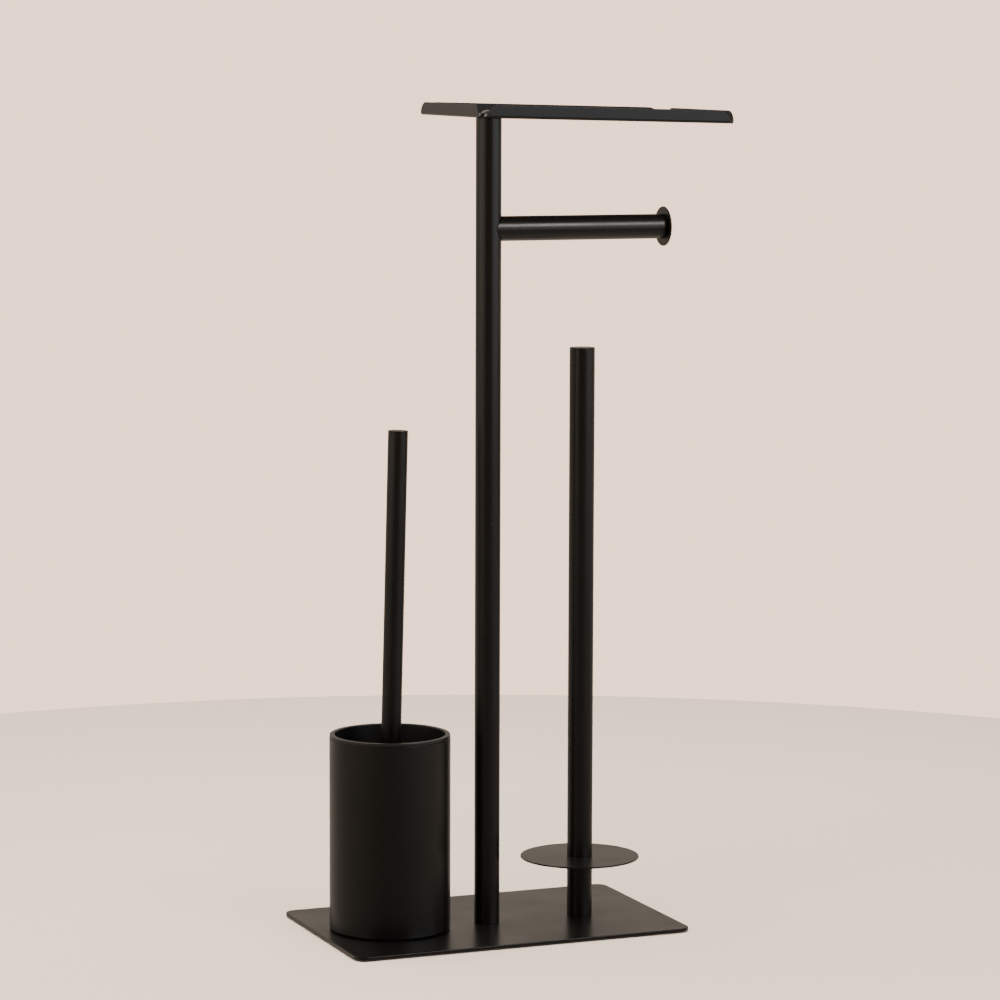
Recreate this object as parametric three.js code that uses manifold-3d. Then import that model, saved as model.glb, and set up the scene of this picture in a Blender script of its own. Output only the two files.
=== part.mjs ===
// Free-standing bathroom stand, assembled from tube, sheet and turned steel.
// A flat base plate carries a main pole with a roll arm and a shallow shelf on its top,
// a second, shorter pole that holds spare rolls on a thin disc, and a toilet brush that
// stands in a steel cup with a plastic liner.
//
// Millimetres. +Z is up, +X runs along the base from the brush cup to the spare rolls,
// and -Y is the front. The origin is on the floor, under the middle of the base plate.

import * as THREE from 'three';
import { mergeVertices } from 'three/addons/utils/BufferGeometryUtils.js';
import Module from 'manifold-3d';

const wasm = await Module();
wasm.setup();

// ---------------------------------------------------------------- driving dimensions

// Base plate and the thin pad glued under it
const baseLength = 308;
const baseDepth = 192;
const baseThickness = 3;
const baseCornerRadius = 10;
const padThickness = 1;
const padInset = 3;
const padHoleRadius = 8;

// Poles: both are the same tube and stand in one row along X
const poleDiameter = 22;
const poleWall = 1.2;
const poleRowY = -10;
const mainPoleX = -3;
const mainLowerLength = 350.2;
const mainUpperLength = 346.4;
const sparePoleX = 84.8;
const spareFootLength = 51;
const spareUpperLength = 445.5;
const poleCapThickness = 1.5;
const capPlugLength = 10;
const tubeEdge = 0.25;

// Disc that the spare rolls sit on
const spareDiscDiameter = 104;
const spareDiscThickness = 1.5;
const spareDiscEdge = 0.3;

// Roll arm: a tube whose end is saddle-cut to the main pole, closed by a small disc
const armHeight = 607;
const armDiameter = 21.4;
const armWall = 1.2;
const armReach = 163;
const armDiscDiameter = 34.4;
const armDiscThickness = 1.5;
const armDiscEdge = 0.4;

// Shelf: folded sheet with a lip on each side, fixed by its front left corner
const shelfLength = 240;
const shelfDepth = 150;
const shelfSheet = 1.5;
const lipHeight = 11.3;
const lipEndRadius = 12;
const lipSetback = 6;
const lipBendRadius = 1;
const shelfOverhang = 0.5;
const shelfDroopDegrees = 1.35; // towards its free end
const shelfForwardDegrees = 0.35; // towards the front

// Threaded steel plugs inside the tubes, and the screws and studs that go in them
const plugLength = 16;
const baseScrewRadius = 3;
const baseScrewHeadRadius = 5.2;
const baseScrewRim = 0.3;
const baseScrewLength = 16;
const baseScrewTip = 0.8;
const baseScrewSocket = 4.6;
const baseScrewSocketDepth = 2;
const studRadius = 4;
const studLength = 26;
const shelfScrewRadius = 4;
const shelfScrewLength = 14;
const shelfScrewHeadRadius = 7;
const shelfScrewHeadHeight = 4.4;
const shelfScrewSocket = 5.8;
const shelfScrewSocketDepth = 2.6;
const washerRadius = 7.6;
const washerThickness = 1;
const tieRodRadius = 3;
const armBossLength = 12;
const armBossFloor = 2;
const rivetNutRadius = 4.5;
const rivetNutFlangeRadius = 6;
const rivetNutFlange = 1;
const rivetNutLength = 12;

// Brush cup: steel shell on a foam ring, with a plastic liner that hangs on its rim
const cupX = -89.2;
const cupY = 0;
const cupDiameter = 104.4;
const cupHeight = 166.7;
const cupWall = 1;
const cupEdge = 1;
const cupFootThickness = 0.8;
const cupFootWidth = 8;
const cupFootInset = 3;
const linerWall = 2.5;
const linerTaper = 1.5;
const linerEdge = 0.8;
const linerLipHeight = 3;
const linerDepth = 164.5;

// Brush: it stands on its bristles and leans a little towards the main pole
const brushLength = 426;
const brushOffset = -2.9;
const brushLeanDegrees = 1.4;
const bristleHeight = 80;
const bristleRound = 16;
const bristleShoulder = 8;
const coreEmbedding = 68;
const coreNeck = 4;
const coreDiameter = 16;
const coreShoulderDiameter = 21;
const coreShoulderHeight = 8;
const coreSpigotDiameter = 10;
const coreSpigotLength = 14;
const handleDiameter = 17.2;
const handleWall = 1;
const handleCapThickness = 1.5;

// Clearances
const slipGap = 0.1; // round a plug that is pressed or glued into its tube
const threadGap = 0.2; // round a screw, stud or rod in its thread
const headGap = 0.15; // round a countersunk head in its seat
const seatGap = 0.3; // between a saddle cut and the pole that it wraps
const restGap = 0.05; // under a piece that rests on a sloping or turned face
const faceGap = 0.1; // between the roll arm's tube and its end disc
const linerGap = 1; // between the liner and the steel cup around it
const bristleGap = 10.2; // between the bristles and the liner, where it is narrowest

// How many flat sides a round piece is given
const smallSides = 24;
const handleSides = 32;
const tubeSides = 40;
const cupSides = 56;
const discSides = 64;

// -------------------------------------------------------------------- worked-out sizes

const radians = THREE.MathUtils.degToRad;
const poleRadius = poleDiameter / 2;
const poleBore = poleRadius - poleWall;
const plugRadius = poleBore - slipGap;
const plateUnderside = padThickness;
const plateTop = padThickness + baseThickness;
const mainJointZ = plateTop + mainLowerLength;
const mainPoleTop = mainJointZ + mainUpperLength;
const spareDiscUnderside = plateTop + spareFootLength;
const spareDiscTop = spareDiscUnderside + spareDiscThickness;
const spareTubeTop = spareDiscTop + spareUpperLength;
const shelfDroop = radians(shelfDroopDegrees);
const shelfForward = radians(shelfForwardDegrees);
const shelfTilt = Math.acos(Math.cos(shelfDroop) * Math.cos(shelfForward));
const brushLean = radians(brushLeanDegrees);

// ------------------------------------------------------------------------- finishes

function finish(color, roughness, metalness) {
  return () => new THREE.MeshStandardMaterial({ color, roughness, metalness });
}

const powderCoat = finish(0x1c1b1a, 0.5, 0.3);
const zincSteel = finish(0xa9adb0, 0.35, 1);
const blackFoam = finish(0x151515, 0.95, 0);
const blackPlastic = finish(0x19191a, 0.4, 0);
const blackNylon = finish(0x141414, 0.6, 0);

// -------------------------------------------------------------------------- shaping

// A body turned about Z. The outline is a list of [radius, height] that runs
// anticlockwise with the radius to the right; it closes on the axis, or on itself.
function turned(outline, sides) {
  const [firstRadius] = outline[0];
  const loop = firstRadius === 0 ? outline : [...outline, outline[0]];
  const points = loop.map(([radius, height]) => new THREE.Vector2(radius, height));
  return new THREE.LatheGeometry(points, sides).rotateX(Math.PI / 2);
}

// A plain ring about Z, or a round bar where the bore is 0.
function ring(outerRadius, bore, bottom, top, sides) {
  return turned([[bore, bottom], [outerRadius, bottom], [outerRadius, top], [bore, top]], sides);
}

// A length of tube about Z whose outer edges are broken at both ends.
function tube(outerRadius, wall, bottom, top, sides) {
  const bore = outerRadius - wall;
  return turned([
    [bore, bottom],
    [outerRadius - tubeEdge, bottom],
    [outerRadius, bottom + tubeEdge],
    [outerRadius, top - tubeEdge],
    [outerRadius - tubeEdge, top],
    [bore, top],
  ], sides);
}

// A flat closing cap: a visible disc with a broken edge, and a plug that goes down a tube.
function tubeCap(outerRadius, wall, tubeTop, thickness, sides) {
  const plug = outerRadius - wall - slipGap;
  return turned([
    [0, tubeTop - capPlugLength],
    [plug, tubeTop - capPlugLength],
    [plug, tubeTop],
    [outerRadius, tubeTop],
    [outerRadius, tubeTop + thickness - tubeEdge],
    [outerRadius - tubeEdge, tubeTop + thickness],
    [0, tubeTop + thickness],
  ], sides);
}

// A threaded plug, drawn with a plain bore.
function threadedPlug(threadRadius, bottom, top) {
  return ring(plugRadius, threadRadius + threadGap, bottom, top, smallSides);
}

// A rectangle with rounded corners, centred on the origin.
function roundedRectangle(length, depth, radius) {
  const x = length / 2 - radius;
  const y = depth / 2 - radius;
  const outline = new THREE.Shape();
  outline.absarc(x, y, radius, 0, Math.PI / 2);
  outline.absarc(-x, y, radius, Math.PI / 2, Math.PI);
  outline.absarc(-x, -y, radius, Math.PI, 1.5 * Math.PI);
  outline.absarc(x, -y, radius, 1.5 * Math.PI, 2 * Math.PI);
  outline.closePath();
  return outline;
}

// A shape in XY raised along Z.
function raised(shape, bottom, thickness, curveSegments) {
  const settings = { depth: thickness, bevelEnabled: false, curveSegments };
  return new THREE.ExtrudeGeometry(shape, settings).translate(0, 0, bottom);
}

// -------------------------------------------------------------------------- booleans

function toSolid(geometry) {
  const bare = geometry.clone();
  bare.deleteAttribute('normal');
  bare.deleteAttribute('uv');
  const welded = mergeVertices(bare, 1e-3);
  return new wasm.Manifold(new wasm.Mesh({
    numProp: 3,
    vertProperties: new Float32Array(welded.attributes.position.array),
    triVerts: new Uint32Array(welded.index.array),
  }));
}

function toGeometry(solid) {
  const { vertProperties, triVerts } = solid.getMesh();
  const geometry = new THREE.BufferGeometry();
  geometry.setAttribute('position', new THREE.BufferAttribute(vertProperties, 3));
  geometry.setIndex(new THREE.BufferAttribute(triVerts, 1));
  geometry.computeVertexNormals();
  return geometry;
}

function cut(geometry, ...cutters) {
  const solid = cutters.reduce((left, cutter) => left.subtract(toSolid(cutter)), toSolid(geometry));
  return toGeometry(solid);
}

function join(first, ...others) {
  const solid = others.reduce((sum, other) => sum.add(toSolid(other)), toSolid(first));
  return toGeometry(solid);
}

function common(first, second) {
  return toGeometry(toSolid(first).intersect(toSolid(second)));
}

// The cutter for a hexagon socket: a six-sided bar that stands on the given height.
function hexSocket(acrossCorners, bottom, depth) {
  const socket = new THREE.CylinderGeometry(acrossCorners / 2, acrossCorners / 2, depth, 6);
  return socket.rotateX(Math.PI / 2).translate(0, 0, bottom + depth / 2);
}

// -------------------------------------------------------------------------- assembly

const stand = new THREE.Group();

function add(parent, name, geometry, material) {
  const mesh = new THREE.Mesh(geometry, material);
  mesh.name = name;
  parent.add(mesh);
  return mesh;
}

// A nested group that stands at a point of its parent.
function groupAt(parent, x, y, z) {
  const group = new THREE.Group();
  group.position.set(x, y, z);
  parent.add(group);
  return group;
}

// ---------------------------------------------------------------------------- base

// Where the two poles stand, and what the pieces in their feet are called
const poleFeet = [
  { name: 'main', x: mainPoleX },
  { name: 'spare', x: sparePoleX },
];

// The cone and through hole that a base screw needs in the plate.
function countersink(x, y) {
  const mouth = baseScrewHeadRadius + headGap;
  const hole = baseScrewRadius + headGap;
  const below = plateUnderside - 1;
  const above = plateTop + 1;
  const coneStart = plateUnderside + headGap + baseScrewRim;
  const cone = turned([
    [0, below],
    [mouth, below],
    [mouth, coneStart],
    [hole, coneStart + mouth - hole],
    [hole, above],
    [0, above],
  ], smallSides);
  return cone.translate(x, y, 0);
}

const plateBlank = raised(
  roundedRectangle(baseLength, baseDepth, baseCornerRadius),
  plateUnderside,
  baseThickness,
  8,
);
const plateHoles = poleFeet.map((foot) => countersink(foot.x, poleRowY));
add(stand, 'base_plate', cut(plateBlank, ...plateHoles), powderCoat());

const padOutline = roundedRectangle(
  baseLength - 2 * padInset,
  baseDepth - 2 * padInset,
  Math.max(baseCornerRadius - padInset, 1),
);
for (const foot of poleFeet) {
  const hole = new THREE.Path();
  hole.absarc(foot.x, poleRowY, padHoleRadius, 0, 2 * Math.PI, true);
  padOutline.holes.push(hole);
}
add(stand, 'base_pad', raised(padOutline, 0, padThickness, 8), blackFoam());

// Countersunk screw, head down, pushed up through the plate into the plug of a pole.
function baseScrew() {
  const underside = plateUnderside + headGap;
  const coneStart = underside + baseScrewRim;
  const screw = turned([
    [0, underside],
    [baseScrewHeadRadius, underside],
    [baseScrewHeadRadius, coneStart],
    [baseScrewRadius, coneStart + baseScrewHeadRadius - baseScrewRadius],
    [baseScrewRadius, underside + baseScrewLength - baseScrewTip],
    [baseScrewRadius - baseScrewTip, underside + baseScrewLength],
    [0, underside + baseScrewLength],
  ], smallSides);
  return cut(screw, hexSocket(baseScrewSocket, underside - 1, baseScrewSocketDepth + 1));
}

for (const foot of poleFeet) {
  const place = groupAt(stand, foot.x, poleRowY, 0);
  add(place, `${foot.name}_base_screw`, baseScrew(), zincSteel());
  const plug = threadedPlug(baseScrewRadius, plateTop, plateTop + plugLength);
  add(place, `${foot.name}_foot_plug`, plug, zincSteel());
}

// ------------------------------------------------------------------------ main pole

const mainPole = groupAt(stand, mainPoleX, poleRowY, 0);

// A stud with a plug above and below it, joining two tubes that meet between the heights.
function poleJoint(place, name, below, above) {
  const middle = (below + above) / 2;
  const stud = ring(studRadius, 0, middle - studLength / 2, middle + studLength / 2, smallSides);
  add(place, `${name}_stud`, stud, zincSteel());
  add(place, `${name}_lower_plug`, threadedPlug(studRadius, below - plugLength, below), zincSteel());
  add(place, `${name}_upper_plug`, threadedPlug(studRadius, above, above + plugLength), zincSteel());
}

const lowerTube = tube(poleRadius, poleWall, plateTop, mainJointZ, tubeSides);
add(mainPole, 'main_pole_lower', lowerTube, powderCoat());
poleJoint(mainPole, 'main_joint', mainJointZ, mainJointZ);

const rivetHole = ring(rivetNutRadius + threadGap, 0, 0, poleDiameter, smallSides);
rivetHole.rotateY(Math.PI / 2).translate(0, 0, armHeight);
const upperTube = tube(poleRadius, poleWall, mainJointZ, mainPoleTop, tubeSides);
add(mainPole, 'main_pole_upper', cut(upperTube, rivetHole), powderCoat());

// The shelf screw stands square to the sloping shelf, so its plug is bored wider.
const slantedScrewGap = threadGap + shelfScrewLength * Math.sin(shelfTilt);
const topPlug = ring(
  plugRadius,
  shelfScrewRadius + slantedScrewGap,
  mainPoleTop - plugLength,
  mainPoleTop,
  smallSides,
);
add(mainPole, 'main_top_plug', topPlug, zincSteel());

// ------------------------------------------------------------------------- roll arm

// Everything on the arm is turned about Z and then laid along +X.
const arm = groupAt(mainPole, 0, 0, armHeight);
const alongArm = (geometry) => geometry.rotateY(Math.PI / 2);
const armRadius = armDiameter / 2;
const armBore = armRadius - armWall;
const armTubeEnd = armReach - faceGap;

const armTube = alongArm(tube(armRadius, armWall, 0, armTubeEnd, tubeSides));
const saddle = ring(poleRadius + seatGap, 0, -armDiameter, armDiameter, tubeSides);
add(arm, 'roll_arm', cut(armTube, saddle), powderCoat());

// Blind rivet nut: its body goes through the pole's wall, its flange stays outside.
const flangeStart = poleRadius + faceGap;
const flangeEnd = flangeStart + rivetNutFlange;
const rivetNutBore = tieRodRadius + threadGap;
const rivetNut = turned([
  [rivetNutBore, flangeEnd - rivetNutLength],
  [rivetNutRadius, flangeEnd - rivetNutLength],
  [rivetNutRadius, flangeStart],
  [rivetNutFlangeRadius, flangeStart],
  [rivetNutFlangeRadius, flangeEnd],
  [rivetNutBore, flangeEnd],
], smallSides);
add(arm, 'arm_rivet_nut', alongArm(rivetNut), zincSteel());

// End disc and, behind it, the tapped boss that centres the tube and takes the rod.
const bossStart = armReach - armBossLength;
const blindEnd = armReach - armBossFloor;
const armDiscRadius = armDiscDiameter / 2;
const armDiscOuterFace = armReach + armDiscThickness;
const armEndDisc = turned([
  [0, blindEnd],
  [tieRodRadius + threadGap, blindEnd],
  [tieRodRadius + threadGap, bossStart],
  [armBore - slipGap, bossStart],
  [armBore - slipGap, armReach],
  [armDiscRadius - armDiscEdge, armReach],
  [armDiscRadius, armReach + armDiscEdge],
  [armDiscRadius, armDiscOuterFace - armDiscEdge],
  [armDiscRadius - armDiscEdge, armDiscOuterFace],
  [0, armDiscOuterFace],
], tubeSides);
add(arm, 'arm_end_disc', alongArm(armEndDisc), powderCoat());

const tieRod = ring(tieRodRadius, 0, flangeEnd - rivetNutLength + 1, blindEnd - 1, smallSides);
add(arm, 'arm_tie_rod', alongArm(tieRod), zincSteel());

// ---------------------------------------------------------------------------- shelf

// The shelf hangs by one corner and slopes down to its free end and a little to the
// front. It touches the pole where the slope brings it lowest, and its origin is on the
// pole's axis, underneath.
const shelfSeat = mainPoleTop + poleRadius * Math.sin(shelfTilt) + restGap;
const shelf = groupAt(mainPole, 0, 0, shelfSeat);
shelf.rotation.set(shelfForward, shelfDroop, 0);

// One side of the sheet, folded up: a strip of floor, the bend and the lip. It is drawn
// in section with the lip's outer face on X = 0, then drawn out along Y.
function foldedSide(length) {
  const outerBend = lipBendRadius + shelfSheet;
  const strip = outerBend + 1;
  const section = new THREE.Shape();
  section.moveTo(-strip, 0);
  section.absarc(-outerBend, outerBend, outerBend, -Math.PI / 2, 0);
  section.lineTo(0, lipHeight);
  section.lineTo(-shelfSheet, lipHeight);
  section.absarc(-outerBend, outerBend, lipBendRadius, 0, -Math.PI / 2, true);
  section.lineTo(-strip, shelfSheet);
  section.closePath();
  const folded = raised(section, -length / 2, length, 4);
  folded.rotateX(Math.PI / 2);
  return common(folded, lipFace(length));
}

// The face of a lip, with its two upper corners rounded off, as a cutter. The corners
// are never rounder than the lip is high.
function lipFace(length) {
  const half = length / 2;
  const below = -1;
  const round = Math.min(lipEndRadius, lipHeight);
  const face = new THREE.Shape();
  face.moveTo(-half, below);
  face.lineTo(half, below);
  face.absarc(half - round, lipHeight - round, round, 0, Math.PI / 2);
  face.absarc(-half + round, lipHeight - round, round, Math.PI / 2, Math.PI);
  face.closePath();
  const cutter = raised(face, -lipHeight, 2 * lipHeight, 8);
  return cutter.rotateX(Math.PI / 2).rotateZ(Math.PI / 2);
}

function shelfTray() {
  const outerBend = lipBendRadius + shelfSheet;
  const floor = new THREE.BoxGeometry(
    shelfLength - 2 * outerBend,
    shelfDepth - 2 * outerBend,
    shelfSheet,
  ).translate(0, 0, shelfSheet / 2);
  const frontLength = shelfLength - 2 * lipSetback;
  const sideLength = shelfDepth - 2 * lipSetback;
  const sides = [
    foldedSide(sideLength).translate(shelfLength / 2, 0, 0),
    foldedSide(frontLength).rotateZ(Math.PI / 2).translate(0, shelfDepth / 2, 0),
    foldedSide(sideLength).rotateZ(Math.PI).translate(-shelfLength / 2, 0, 0),
    foldedSide(frontLength).rotateZ(-Math.PI / 2).translate(0, -shelfDepth / 2, 0),
  ];
  const cornerToPole = poleRadius + shelfOverhang;
  const blank = join(floor, ...sides).translate(
    shelfLength / 2 - cornerToPole,
    shelfDepth / 2 - cornerToPole,
    0,
  );
  const screwHole = ring(shelfScrewRadius + threadGap, 0, -1, shelfSheet + 1, smallSides);
  return cut(blank, screwHole);
}
add(shelf, 'shelf_tray', shelfTray(), powderCoat());

const washerBottom = shelfSheet + restGap;
const washerTop = washerBottom + washerThickness;
const washerBore = shelfScrewRadius + threadGap;
const washer = ring(washerRadius, washerBore, washerBottom, washerTop, smallSides);
add(shelf, 'shelf_washer', washer, zincSteel());

// Button-head screw with a domed head and a hexagon socket.
function shelfScrew() {
  const underside = washerTop + restGap;
  const domeSteps = 5;
  const outline = [
    [0, underside - shelfScrewLength],
    [shelfScrewRadius, underside - shelfScrewLength],
    [shelfScrewRadius, underside],
  ];
  for (let step = 0; step < domeSteps; step += 1) {
    const angle = (step / domeSteps) * (Math.PI / 2);
    outline.push([
      shelfScrewHeadRadius * Math.cos(angle),
      underside + shelfScrewHeadHeight * Math.sin(angle),
    ]);
  }
  outline.push([0, underside + shelfScrewHeadHeight]);
  const socketBottom = underside + shelfScrewHeadHeight - shelfScrewSocketDepth;
  const socket = hexSocket(shelfScrewSocket, socketBottom, shelfScrewSocketDepth + 1);
  return cut(turned(outline, smallSides), socket);
}
add(shelf, 'shelf_screw', shelfScrew(), zincSteel());

// ----------------------------------------------------------------------- spare pole

const sparePole = groupAt(stand, sparePoleX, poleRowY, 0);

const footTube = tube(poleRadius, poleWall, plateTop, spareDiscUnderside, tubeSides);
add(sparePole, 'spare_pole_foot', footTube, powderCoat());

// The top has a ring of corners just outside the pole: the face beyond it carries the rolls.
const discRadius = spareDiscDiameter / 2;
const discBore = studRadius + threadGap;
const disc = turned([
  [discBore, spareDiscUnderside],
  [discRadius - spareDiscEdge, spareDiscUnderside],
  [discRadius, spareDiscUnderside + spareDiscEdge],
  [discRadius, spareDiscTop - spareDiscEdge],
  [discRadius - spareDiscEdge, spareDiscTop],
  [poleRadius + seatGap, spareDiscTop],
  [discBore, spareDiscTop],
], discSides);
add(sparePole, 'spare_disc', disc, powderCoat());

poleJoint(sparePole, 'spare_joint', spareDiscUnderside, spareDiscTop);

const spareTube = tube(poleRadius, poleWall, spareDiscTop, spareTubeTop, tubeSides);
add(sparePole, 'spare_pole_upper', spareTube, powderCoat());
const spareCap = tubeCap(poleRadius, poleWall, spareTubeTop, poleCapThickness, tubeSides);
add(sparePole, 'spare_pole_cap', spareCap, powderCoat());

// ---------------------------------------------------------------------- brush cup

const cup = groupAt(stand, cupX, cupY, plateTop);
const cupRadius = cupDiameter / 2;
const cupBore = cupRadius - cupWall;
const cupUnderside = cupFootThickness;
const cupRim = cupUnderside + cupHeight;

const footOuterRadius = cupRadius - cupFootInset;
const footInnerRadius = footOuterRadius - cupFootWidth;
const cupFoot = ring(footOuterRadius, footInnerRadius, 0, cupFootThickness, cupSides);
add(cup, 'cup_foot_ring', cupFoot, blackFoam());

const cupShell = turned([
  [0, cupUnderside],
  [cupRadius - cupEdge, cupUnderside],
  [cupRadius, cupUnderside + cupEdge],
  [cupRadius, cupRim],
  [cupBore, cupRim],
  [cupBore, cupUnderside + cupWall],
  [0, cupUnderside + cupWall],
], cupSides);
add(cup, 'brush_cup', cupShell, powderCoat());

// Liner: a tapered bucket whose lip lies on the steel rim.
const linerRadius = cupBore - linerGap;
const openingRadius = linerRadius - linerWall;
const linerTop = cupRim + linerLipHeight;
const linerUnderside = cupRim - linerDepth;
const linerFloor = linerUnderside + linerWall;
const linerFootRadius = linerRadius - linerTaper;
const linerLipRadius = cupRadius - seatGap;
const linerBucket = turned([
  [0, linerUnderside],
  [linerFootRadius - linerEdge, linerUnderside],
  [linerFootRadius, linerUnderside + linerEdge],
  [linerRadius, cupRim],
  [linerLipRadius, cupRim],
  [linerLipRadius, linerTop - linerEdge],
  [linerLipRadius - linerEdge, linerTop],
  [openingRadius + linerEdge, linerTop],
  [openingRadius, linerTop - linerEdge],
  [linerFootRadius - linerWall, linerFloor],
  [0, linerFloor],
], cupSides);
add(cup, 'cup_liner', linerBucket, blackPlastic());

// -------------------------------------------------------------------------- brush

// The brush stands on the flat underside of its bristles, lifted by what the lean needs.
const bristleRadius = linerFootRadius - linerWall - bristleGap;
const bristleFootRadius = bristleRadius - bristleRound;
const brushSeat = linerFloor + bristleFootRadius * Math.sin(brushLean) + restGap;
const brush = groupAt(cup, brushOffset, 0, brushSeat);
brush.rotation.y = brushLean;

const coreRadius = coreDiameter / 2;
const coreBottom = bristleHeight - coreEmbedding;
const coreHoleRadius = coreRadius + seatGap;

// The bulb that the bristles fill, rounded below and above, with a hole for the core.
function bristleBulb() {
  const outline = [[0, 0]];
  const roundSteps = 4;
  for (let step = 0; step <= roundSteps; step += 1) {
    const angle = (step / roundSteps) * (Math.PI / 2);
    outline.push([
      bristleFootRadius + bristleRound * Math.sin(angle),
      bristleRound * (1 - Math.cos(angle)),
    ]);
  }
  outline.push(
    [bristleRadius, bristleHeight - bristleShoulder],
    [bristleRadius - bristleShoulder, bristleHeight],
    [coreHoleRadius, bristleHeight],
    [coreHoleRadius, coreBottom - seatGap],
    [0, coreBottom - seatGap],
  );
  return turned(outline, handleSides);
}
add(brush, 'brush_bristles', bristleBulb(), blackNylon());

const shoulderBottom = bristleHeight + coreNeck;
const shoulderTop = shoulderBottom + coreShoulderHeight;
const spigotRadius = coreSpigotDiameter / 2;
const core = turned([
  [0, coreBottom],
  [coreRadius, coreBottom],
  [coreRadius, shoulderBottom],
  [coreShoulderDiameter / 2, shoulderBottom],
  [coreShoulderDiameter / 2, shoulderTop - 1],
  [coreShoulderDiameter / 2 - 1, shoulderTop],
  [spigotRadius, shoulderTop],
  [spigotRadius, shoulderTop + coreSpigotLength],
  [0, shoulderTop + coreSpigotLength],
], smallSides);
add(brush, 'brush_core', core, blackPlastic());

const handleRadius = handleDiameter / 2;
const handleBottom = shoulderTop + restGap;
const handleTubeTop = brushLength - handleCapThickness;
const handlePlug = ring(
  handleRadius - handleWall - slipGap,
  spigotRadius + threadGap,
  handleBottom,
  handleBottom + coreSpigotLength,
  smallSides,
);
add(brush, 'handle_plug', handlePlug, zincSteel());

const handleTube = tube(handleRadius, handleWall, handleBottom, handleTubeTop, handleSides);
add(brush, 'brush_handle', handleTube, powderCoat());
const handleCap = tubeCap(
  handleRadius,
  handleWall,
  handleTubeTop + restGap,
  handleCapThickness,
  handleSides,
);
add(brush, 'handle_cap', handleCap, powderCoat());

export default stand;
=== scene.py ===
# A free-standing bathroom stand in satin black: a main pole with a roll arm and a shallow
# shelf, a shorter pole with a disc for spare rolls, and a toilet brush in a lined cup.
# The sections follow the stand as it is put together, from the base plate upwards.
# Metres; +Z is up, +X runs from the cup towards the spare rolls, -Y is the front.

from math import asin, cos, pi, radians, sin, sqrt, tau

import bpy
import bmesh
from mathutils import Matrix, Vector


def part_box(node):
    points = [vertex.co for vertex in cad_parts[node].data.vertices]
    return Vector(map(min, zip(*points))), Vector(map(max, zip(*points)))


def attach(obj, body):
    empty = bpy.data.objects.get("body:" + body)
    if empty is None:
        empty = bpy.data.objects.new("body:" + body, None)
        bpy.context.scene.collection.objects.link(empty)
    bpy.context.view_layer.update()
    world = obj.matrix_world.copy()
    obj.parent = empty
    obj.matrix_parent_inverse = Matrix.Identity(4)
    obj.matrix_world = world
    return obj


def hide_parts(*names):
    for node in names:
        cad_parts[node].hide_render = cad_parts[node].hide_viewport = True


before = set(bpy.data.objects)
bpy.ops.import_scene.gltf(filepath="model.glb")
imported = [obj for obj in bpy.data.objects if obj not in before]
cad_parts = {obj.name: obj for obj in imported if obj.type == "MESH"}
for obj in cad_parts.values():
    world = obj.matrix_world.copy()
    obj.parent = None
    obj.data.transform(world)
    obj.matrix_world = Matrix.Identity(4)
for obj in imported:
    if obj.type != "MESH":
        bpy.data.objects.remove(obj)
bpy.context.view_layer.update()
mm = 0.001

# ---------------------------------------------------------------------------- camera

# A long lens from the front left, a little above the shelf and tipped down at the stand.
camera_place = (-1.2172, -3.0108, 0.7514)
camera_turn = radians(-22.215)
camera_dip = radians(6.648)
camera_roll = radians(0.169)

camera = bpy.data.objects.new("camera", bpy.data.cameras.new("camera"))
camera.data.lens = 136.4
camera.data.sensor_width = 36
camera.data.clip_end = 50
camera.matrix_world = (
    Matrix.Translation(camera_place)
    @ Matrix.Rotation(camera_turn, 4, "Z")
    @ Matrix.Rotation(pi / 2 - camera_dip, 4, "X")
    @ Matrix.Rotation(camera_roll, 4, "Z")
)
bpy.context.collection.objects.link(camera)
bpy.context.scene.camera = camera

# ------------------------------------------------------------------- floor and lights

# A plain pale floor of sealed plaster, round, so that it ends the same way on every side.
# Its patches are faint and its polish low, and the black coat doesn't mirror it.
floor_radius = 1200 * mm
floor_edge = 10 * mm


def linear(hex_colour, alpha=1.0):
    """A colour given as sRGB hex, as the linear values that a shader takes."""
    parts = [int(hex_colour[i : i + 2], 16) / 255 for i in (1, 3, 5)]
    return (*[p / 12.92 if p <= 0.04045 else ((p + 0.055) / 1.055) ** 2.4 for p in parts], alpha)


def add_node(tree, kind, inputs=None, **settings):
    """Adds a node with its settings. An input is a value, or another node's output to link."""
    made = tree.nodes.new(kind)
    for name, value in settings.items():
        setattr(made, name, value)
    for socket, value in (inputs or {}).items():
        if isinstance(value, bpy.types.NodeSocket):
            tree.links.new(value, made.inputs[socket])
        else:
            made.inputs[socket].default_value = value
    return made


def blank_material(name):
    """A material with an empty node tree."""
    material = bpy.data.materials.new(name)
    material.use_nodes = True
    material.node_tree.nodes.clear()
    return material, material.node_tree


def turned(outline, sides=96):
    """A mesh turned about Z. The outline is a list of (radius, height), anticlockwise with
    the radius to the right; it closes on the axis where it starts there, or on itself."""
    form = bmesh.new()
    rings = []
    for radius, height in outline:
        if radius == 0:
            rings.append([form.verts.new((0, 0, height))] * sides)
            continue
        angles = [tau * step / sides for step in range(sides)]
        rings.append([form.verts.new((radius * cos(a), radius * sin(a), height)) for a in angles])
    pairs = list(zip(rings, rings[1:]))
    if outline[0][0] > 0:
        pairs.append((rings[-1], rings[0]))
    for lower, upper in pairs:
        for side in range(sides):
            following = (side + 1) % sides
            corners = [lower[side], lower[following], upper[following], upper[side]]
            form.faces.new(list(dict.fromkeys(corners)))
    mesh = bpy.data.meshes.new("turned")
    form.to_mesh(mesh)
    form.free()
    mesh.polygons.foreach_set("use_smooth", [True] * len(mesh.polygons))
    return mesh


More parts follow.
